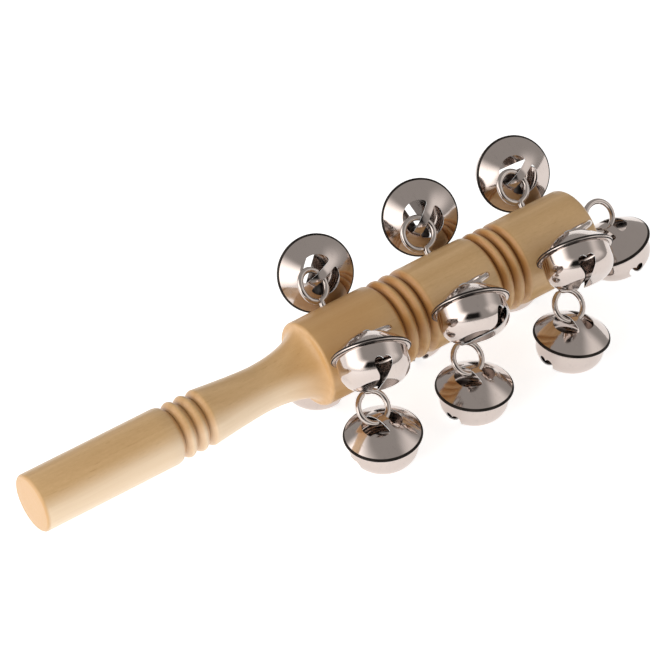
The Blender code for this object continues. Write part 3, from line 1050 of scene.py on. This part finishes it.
@dataclass
class PelletBell:
    """A pressed dome, a pressed bowl with a heart-ended slot, and a loose pellet."""

    sheet: float = 0.32 * MM
    fit: float = 0.12 * MM
    flange: float = 12.54 * MM
    crown: float = 7.35 * MM
    crown_reach: float = 12.8 * MM
    crown_power: float = 1.55
    crown_flat: float = 1.6 * MM
    fold_start: float = 46.0
    opening: float = 5.5 * MM
    opening_corner: float = 0.8 * MM
    strap: float = 2.6 * MM
    bowl_radius: float = 11.07 * MM
    bowl_depth: float = 10.37 * MM
    bowl_corner: float = 6.0 * MM
    bowl_lip: float = 0.35 * MM
    bowl_wall: float = 0.55 * MM
    punch_lift: float = 0.6 * MM
    slot: float = 2.2 * MM
    heart_width: float = 5.5 * MM
    heart_height: float = 5.9 * MM
    heart_drop: float = 4.7 * MM
    pellet: float = 3.4 * MM
    wire_over_flange: float = 5.49 * MM
    rim: float = 0.45 * MM
    # Band of the hem, in shares of its half height, left plain plated between the painted shade of
    # the fold.
    bright_edge: Point = (-0.6, 0.1)
    segments: int = 96

    @property
    def hem(self) -> float:
        """Half the height of the folded hem."""
        return 1.5 * self.sheet + self.fit

    def crown_height(self, radius: float) -> float:
        """Height of the dome's outer face above the joint of the shells."""
        soft = (radius ** 4 + self.crown_flat ** 4) ** 0.25
        return self.crown * (1.0 - (soft / self.crown_reach) ** self.crown_power)

    def dome_outline(self) -> list[Point]:
        """Draw the outer face of the dome, which runs smoothly into the folded hem.

        Returns:
            Points (radius, height) from the crown to the lip of the hem.
        """
        middle = self.flange - self.hem
        fold = arc((middle, 0.0), self.hem, self.fold_start, -90.0, 12)
        last, height = fold[0]
        drop = self.crown_height(last) - height
        points = []
        for index in range(31):
            radius = last * index / 31
            points.append((radius, self.crown_height(radius) - drop * (radius / last) ** 4))
        return points + fold + [(self.bowl_radius + self.fit, -self.hem)]

    def bowl_outline(self) -> list[Point]:
        """Draw the outer face of the bowl.

        Returns:
            Points (radius, height) from the flange's edge to the middle.
        """
        top, lip, corner = -0.5 * self.sheet, self.bowl_lip, self.bowl_corner
        points = [(self.flange - self.sheet - self.fit, top)]
        points += arc((self.bowl_radius + lip, top - lip), lip, 90.0, 180.0, 4)
        low = (self.bowl_radius, corner - self.bowl_depth)
        points += line((self.bowl_radius, -self.bowl_wall), low, 6)
        points += arc((self.bowl_radius - corner, low[1]), corner, 0.0, -90.0, 16)[1:]
        return points + line(points[-1], (0.0, -self.bowl_depth), 8)

    def with_wall(self, outer: Sequence[Point]) -> list[Point]:
        """Add the inner face of the sheet to an outer face that starts or ends on the axis.

        Args:
            outer: Outer face from top to bottom.

        Returns:
            A closed outline whose ends lie on the axis.
        """
        inner = []
        for index, (radius, height) in enumerate(outer):
            before = outer[max(index - 1, 0)]
            after = outer[min(index + 1, len(outer) - 1)]
            run = Vector((after[0] - before[0], after[1] - before[1])).normalized()
            inner.append((max(radius + self.sheet * run.y, 0.0), height - self.sheet * run.x))
        if outer[0][0] == 0.0:
            return list(outer) + inner[::-1]
        return inner[::-1] + list(outer)

    def shell(self, name: str, outer: Sequence[Point], cutters: Sequence[bpy.types.Mesh],
              turning: TurningTree, finishes: ShellFinishes) -> bpy.types.Mesh:
        """Turn a sheet metal shell and cut it.

        Args:
            name: Name of the mesh.
            outer: Outer face of the sheet.
            cutters: What is punched out of it.
            turning: Tree that turns a profile.
            finishes: Materials of its outer face, inner face and folded rim.

        Returns:
            The shell in the bell's frame, whose origin is on the wire.
        """
        outline = [(radius, 0.0, height) for radius, height in self.with_wall(outer)]
        mesh = turning.run(name, MeshTools.polyline(name + "_profile", outline),
                           Segments=self.segments, Material=finishes.plating)
        mesh.materials.append(finishes.inside)
        mesh.materials.append(finishes.fold)
        # The folded rim takes the dark fold finish as painted shade, except the band at the middle
        # of the hem.
        low, high = (share * self.hem for share in self.bright_edge)
        for face in mesh.polygons:
            if face.normal.dot(face.center) < 0.0:
                face.material_index = 1
            elif face.center.xy.length > self.flange - self.rim and \
                    not low < face.center.z < high:
                face.material_index = 2
        mesh = MeshTools.cut(mesh, cutters)
        mesh.transform(Matrix.Translation((0.0, 0.0, -self.wire_over_flange)))
        return MeshTools.smooth(mesh, 38.0)

    def half_rounds(self) -> list[bpy.types.Mesh]:
        """Draw the two openings beside the strap, with rounded corners.

        Returns:
            Their cutters.
        """
        corner, near, reach = self.opening_corner, 0.5 * self.strap, self.opening
        bend = math.asin(corner / (reach - corner))
        top = 90.0 - math.degrees(bend)
        middle = (near + corner, (reach - corner) * math.cos(bend))
        quarter = arc(middle, corner, 180.0, top, 6) + arc((near, 0.0), reach, top, 0.0, 12)[1:]
        raised = Matrix.Translation((0.0, 0.0, self.crown + self.punch_lift))
        cutters = []
        for side in (1.0, -1.0):
            outline = [(side * x, y) for x, y in quarter]
            outline += [(side * x, -y) for x, y in quarter[-2::-1]]
            cutters.append(MeshTools.prism("half_round", outline, self.crown, raised))
        return cutters

    def heart(self) -> bpy.types.Mesh:
        """Draw the slot and the heart-shaped hole at each of its ends.

        Returns:
            Their cutter.
        """
        lobe = 0.26 * self.heart_width
        middle = 0.5 * self.heart_width - lobe
        notch = math.degrees(math.acos(-middle / lobe))
        right = arc((middle, -self.heart_drop - lobe), lobe, notch, 0.0, 14)
        side, height = right[-1]
        low = -self.heart_drop - self.heart_height
        for index in range(1, 13):
            share = index / 12
            narrow = 0.5 + 0.5 * math.cos(math.pi * share ** 1.4)
            right.append((0.5 * self.slot + (side - 0.5 * self.slot) * narrow,
                          height + (low - height) * share))
        right.append((0.5 * self.slot, -self.bowl_depth - 2.0 * self.sheet))
        outline = right + [(-x, y) for x, y in right[:0:-1]]
        return MeshTools.prism("heart_slot", outline, 2.2 * self.flange,
                               Matrix.Rotation(math.radians(90.0), 4, "X"))

    def pellet_mesh(self, material: bpy.types.Material) -> bpy.types.Mesh:
        """Make a tumbled steel ball: slightly out of round, with the flat of its cut-off.

        Args:
            material: Finish of the ball.

        Returns:
            The ball, at the origin.
        """
        shape = bmesh.new()
        bmesh.ops.create_icosphere(shape, subdivisions=4, radius=self.pellet)
        for vertex in shape.verts:
            way = vertex.co.normalized()
            dent = 0.5 + 0.25 * math.sin(7.0 * way.x + 3.0 * way.z) + \
                0.25 * math.sin(9.0 * way.y - 5.0 * way.z)
            length = self.pellet * (1.0 - 0.02 * dent)
            vertex.co = way * min(length, 0.965 * self.pellet / max(way.z, 0.01))
        mesh = MeshTools.kept(shape, "pellet")
        mesh.materials.append(material)
        return MeshTools.smooth(mesh, 40.0)


@dataclass
class BellSet:
    """All bells with their eyes. The upper back bells have smaller hearts."""

    stick: TurnedStick
    eye: ScrewEye
    bell: PelletBell
    back_bell: PelletBell
    places: tuple[BellPlace, ...]
    plating: PlatedFinish = PlatedFinish("bright_nickel", (0.63, 0.55, 0.51), 0.07, 0.10)
    # Painted shade for the folded rim: a dark copy of the plating.
    fold: PlatedFinish = PlatedFinish("tarnished_fold", (0.25, 0.205, 0.18), 0.16, 0.10)
    wire: PlatedFinish = PlatedFinish("nickel_wire", (0.60, 0.53, 0.49), 0.10, 0.12)
    steel: PlatedFinish = PlatedFinish("tumbled_steel", (0.20, 0.19, 0.185), 0.36, 0.15)

    def build(self, turning: TurningTree, wire: WireTree) -> None:
        """Make every eye, dome, bowl and pellet.

        Args:
            turning: Tree that turns a profile.
            wire: Tree that draws a wire.
        """
        finishes = ShellFinishes(self.plating.build(), InnerFinish().build(), self.fold.build())
        plated_wire = self.wire.build()
        dome = self.bell.shell("dome", self.bell.dome_outline(), self.bell.half_rounds(),
                               turning, finishes)
        bowl, back_bowl = (
            kind.shell(name, kind.bowl_outline(), [kind.heart()], turning, finishes)
            for name, kind in (("bowl", self.bell), ("back_bowl", self.back_bell)))
        ball = self.bell.pellet_mesh(self.steel.build())
        for place in self.places:
            eye_frame = place.eye_matrix(self.stick)
            self.eye.build(place.name, wire, eye_frame, place.neck, plated_wire)
            bell_frame = place.bell_matrix(self.stick, self.eye)
            self._place("dome", place, dome, bell_frame)
            turn = Matrix.Rotation(math.radians(place.heart - 90.0), 4, "Z")
            master = back_bowl if place.row is Row.UPPER_BACK else bowl
            self._place("bowl", place, master, bell_frame @ turn)
            low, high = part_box("pellet_" + place.name)
            spin = Matrix.Rotation(math.radians(37.0 * len(place.name)), 4, "X")
            self._place("pellet", place, ball, Matrix.Translation((low + high) / 2.0) @ spin)

    @staticmethod
    def _place(kind: str, place: BellPlace, master: bpy.types.Mesh, matrix: Matrix) -> None:
        """Put a copy of a master mesh at a place.

        Args:
            kind: dome, bowl or pellet.
            place: The bell's place.
            master: The mesh that is copied.
            matrix: Where it goes.
        """
        node = f"{kind}_{place.name}"
        mesh = master.copy()
        mesh.name = node
        mesh.transform(matrix)
        prefix, body, slot = {
            "dome": ("pressed_dome_", "bell_", "bell_shell"),
            "bowl": ("pressed_bowl_", "bell_", "bell_shell"),
            "pellet": ("steel_pellet_", "ball_", "pellet"),
        }[kind]
        MeshTools.piece(prefix + place.name, mesh, body + place.name, node, slot)


# Studio


@dataclass(frozen=True)
class Surround:
    """A soft-edged rectangle of the far surroundings, seen from the stick.

    Directions are azimuth from +X towards +Y and elevation, in degrees.
    """

    azimuth: float
    elevation: float
    half_width: float
    half_height: float
    level: float
    edge: float

    def mask(self, tree: Tree, across: Signal, ahead: Signal, up: Signal) -> Signal:
        """Share of the rectangle in a direction.

        Args:
            tree: Tree of the world; not used.
            across: Direction's part along +Y.
            ahead: Direction's part along +X.
            up: Direction's part along +Z.

        Returns:
            1 inside, 0 outside.
        """
        turn = math.radians(self.azimuth)
        forward = ahead * math.cos(turn) + across * math.sin(turn)
        side = across * math.cos(turn) - ahead * math.sin(turn)
        flat = (across * across + ahead * ahead).root()
        wide = side.bearing(forward).size()
        high = (up.bearing(flat) - math.radians(self.elevation)).size()
        soft = math.radians(self.edge)
        limit = (math.radians(self.half_width), math.radians(self.half_height))
        return wide.ramp(limit[0] + soft, limit[0] - soft) * \
            high.ramp(limit[1] + soft, limit[1] - soft)


@dataclass(frozen=True)
class AreaLamp:
    """A soft lamp that faces the middle of the stick and leaves no mark in bright metal."""

    name: str
    azimuth: float
    elevation: float
    distance: float
    size: tuple[float, float]
    radiance: float

    def build(self, target: Vector) -> None:
        """Make the lamp.

        Args:
            target: Where it points.
        """
        light = bpy.data.lights.new(self.name, "AREA")
        light.shape = "RECTANGLE"
        light.size, light.size_y = self.size
        light.energy = math.pi * self.size[0] * self.size[1] * self.radiance
        turn, rise = math.radians(self.azimuth), math.radians(self.elevation)
        away = Vector((math.cos(rise) * math.cos(turn), math.cos(rise) * math.sin(turn),
                       math.sin(rise)))
        lamp = MeshTools.show(self.name, light)
        lamp.visible_glossy = False
        lamp.matrix_world = Matrix.Translation(target + away * self.distance) @ \
            away.to_track_quat("Z", "Y").to_matrix().to_4x4()


@dataclass
class Studio:
    """Floor, lamp, world and camera."""

    target: Vector = field(default_factory=lambda: Vector((0.1122, 0.0, 0.0)))
    toward: Vector = field(default_factory=lambda: Vector((-0.4226, -0.6250, 0.6563)))
    right: Vector = field(default_factory=lambda: Vector((0.8097, -0.5858, -0.0364)))
    up: Vector = field(default_factory=lambda: Vector((0.4072, 0.5160, 0.7536)))
    shift: Point = (-2.41 * MM, 4.75 * MM)
    distance: float = 987.7 * MM
    focal_px: float = 3200.0
    image_px: float = 665.0
    sensor_mm: float = 36.0
    sight: float = 20.0
    floor_size: float = 1.6
    floor_gap: float = 0.3 * MM
    level: float = 0.40
    tint: Colour = (1.0, 0.98, 0.96)
    surrounds: tuple[Surround, ...] = (
        Surround(170.0, 21.0, 42.0, 21.0, 2.4, 14.0),
        Surround(-40.0, 30.0, 24.0, 18.0, 1.0, 12.0),
        Surround(-126.0, 27.0, 27.0, 17.0, 0.012, 8.0),
    )
    fill: AreaLamp = AreaLamp("soft_fill", -160.0, 28.0, 0.42, (0.30, 0.20), 3.2)

    def camera(self) -> None:
        """Set the camera at the photograph's viewing angle."""
        data = bpy.data.cameras.new("photo_camera")
        data.sensor_width = self.sensor_mm
        data.lens = self.focal_px * self.sensor_mm / self.image_px
        data.clip_end = self.sight
        camera = MeshTools.show("photo_camera", data)
        spot = self.target + self.right * self.shift[0] + self.up * self.shift[1] + \
            self.toward * self.distance
        turn = Matrix((self.right, self.up, self.toward)).transposed().to_4x4()
        camera.matrix_world = Matrix.Translation(spot) @ turn
        bpy.context.scene.camera = camera

    def floor(self, lowest: float) -> None:
        """Lay the paper on which the stick's lowest bells stand.

        Args:
            lowest: Height of the object's lowest point.
        """
        shape = bmesh.new()
        bmesh.ops.create_grid(shape, x_segments=2, y_segments=2, size=self.floor_size)
        mesh = MeshTools.kept(shape, "paper")
        mesh.transform(Matrix.Translation((self.target.x, 0.0, lowest - self.floor_gap)))
        mesh.materials.append(FloorFinish().build())
        paper = MeshTools.show("studio_paper", mesh)
        paper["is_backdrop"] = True

    def world(self) -> None:
        """Surround the stick with plain soft light: bright walls, grey above, a dark strip."""
        world = bpy.data.worlds.new("studio")
        bpy.context.scene.world = world
        world.use_nodes = True
        tree = Tree(world.node_tree)
        tree.tree.nodes.clear()
        ahead, across, up = tree.parts(tree.out("ShaderNodeTexCoord", None, None, "Generated"))
        light: Signal | float = self.level
        for patch in self.surrounds:
            mask = patch.mask(tree, across, ahead, up)
            light = mask * patch.level + (1.0 - mask) * light
        seen = tree.out("ShaderNodeLightPath", None, None, "Is Camera Ray")
        back = tree.out("ShaderNodeBackground", None, {
            "Color": (*self.tint, 1.0), "Strength": light * (1.0 - seen) + seen})
        tree.node("ShaderNodeOutputWorld", None, {"Surface": back})

    def build(self, lowest: float) -> None:
        """Build the whole studio.

        Args:
            lowest: Height of the object's lowest point.
        """
        self.camera()
        self.floor(lowest)
        self.world()
        self.fill.build(self.target)
        bpy.context.scene.view_settings.view_transform = "Standard"


PLACES = (
    BellPlace("upper_back_1", 0.1314, Row.UPPER_BACK, 17.9, 67.3, 57.6, 120.0),
    BellPlace("upper_back_2", 0.5161, Row.UPPER_BACK, -5.4, 48.0, 74.1, 150.0),
    BellPlace("upper_back_3", 0.8724, Row.UPPER_BACK, 8.3, 59.7, 66.9, 60.0),
    BellPlace("upper_front_1", 0.1427, Row.UPPER_FRONT, -5.0, -50.0, -72.0, 313.0),
    BellPlace("upper_front_2", 0.5019, Row.UPPER_FRONT, 6.0, -60.0, -63.9, 4.0),
    BellPlace("upper_front_3", 0.8866, Row.UPPER_FRONT, 5.0, -58.0, -67.1, 316.0),
    BellPlace("lower_front_1", 0.1323, Row.LOWER_FRONT, -3.7, 7.0, -44.9, 168.0),
    BellPlace("lower_front_2", 0.4802, Row.LOWER_FRONT, -4.9, 0.9, -44.9, 190.0),
    BellPlace("lower_front_3", 0.8658, Row.LOWER_FRONT, -3.0, -8.6, -45.5, 190.0),
    BellPlace("lower_back_1", 0.1474, Row.LOWER_BACK, 6.0, 3.0, 44.7, 120.0),
    BellPlace("lower_back_2", 0.5038, Row.LOWER_BACK, -8.0, -2.0, 44.6, 60.0),
    BellPlace("lower_back_3", 0.8705, Row.LOWER_BACK, 3.0, 2.0, 44.9, 150.0),
    BellPlace("end", 1.0, Row.TIP, 143.0, -75.0, -23.6, 258.0),
)


def plain(box: Any) -> list[list[float]]:
    """A box as plain lists of numbers."""
    return [[float(value) for value in corner] for corner in box]


def main() -> None:
    """Build the stick, its bells and the studio."""
    logging.basicConfig(level=logging.INFO, format="%(message)s")
    before = plain(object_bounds())
    stick = TurnedStick(WoodFinish())
    turning = TurningTree()
    stick.build(turning, [place.eye_matrix(stick) for place in PLACES])
    back_bell = PelletBell(heart_width=5.0 * MM, heart_height=4.6 * MM)
    BellSet(stick, ScrewEye(), PelletBell(), back_bell, PLACES).build(turning, WireTree())
    Studio().build(before[0][2])


if __name__ == "__main__":
    main()
